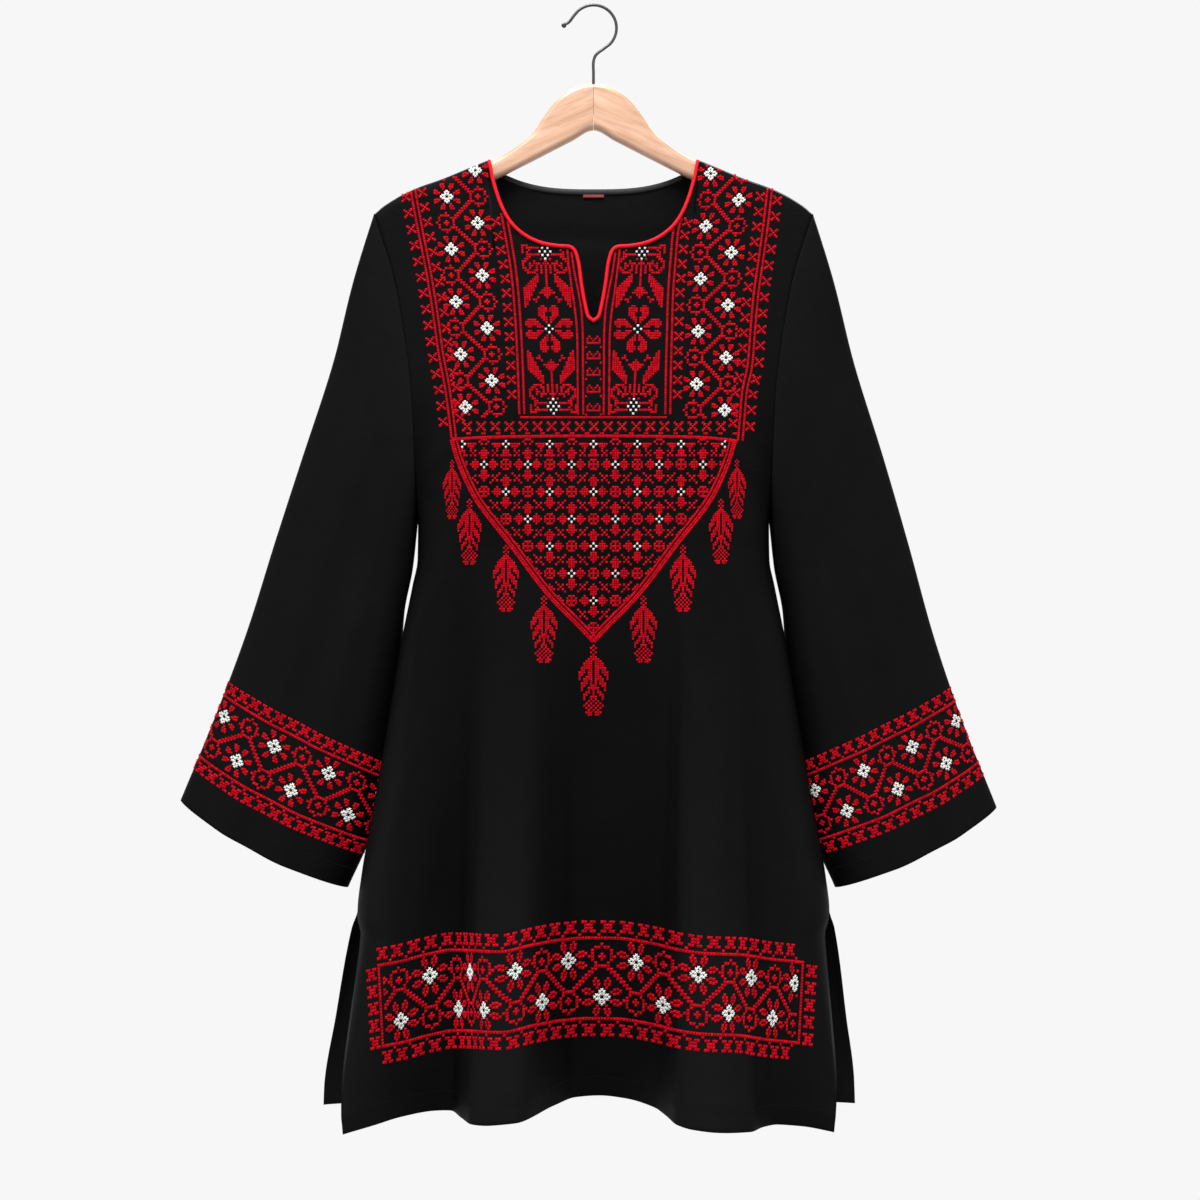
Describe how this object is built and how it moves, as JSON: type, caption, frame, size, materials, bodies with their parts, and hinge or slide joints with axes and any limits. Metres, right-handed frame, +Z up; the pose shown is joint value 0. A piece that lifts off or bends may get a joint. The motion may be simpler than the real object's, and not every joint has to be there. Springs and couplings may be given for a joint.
{
  "type": "tunic on a wooden hanger",
  "caption": "Long-sleeved A-line tunic with side slits, cross-stitch bands and a slit round neck, hanging on a wooden hanger by its wire hook.",
  "frame": {"origin": "under the crown of the hanger's hook, where a rod or peg carries it", "axes": "+Z up, -Y is the front of the tunic, +X to the right as seen from the front"},
  "size_m": [0.823, 0.1472, 1.1095],
  "materials": {
    "cloth": "fine black crepe weave with a soft sheen",
    "binding": "black bias tape",
    "piping": "red corded piping",
    "stitch_red": "glossy red stranded thread",
    "stitch_white": "white stranded thread",
    "label": "dull red woven tape",
    "wood": "pale beech under clear satin lacquer",
    "wire": "black coated wire, half gloss"
  },
  "bodies": {
    "root": {"hanger_hook": "wire", "hanger_left_arm": "wood", "hanger_right_arm": "wood", "front_top": "cloth", "front_chest": "cloth", "front_skirt": "cloth", "back_top": "cloth", "back_chest": "cloth", "back_skirt": "cloth", "left_sleeve": "cloth", "right_sleeve": "cloth", "neck_piping": "piping", "back_neck_binding": "binding", "neck_label": "label"}
  },
  "joints": []
}
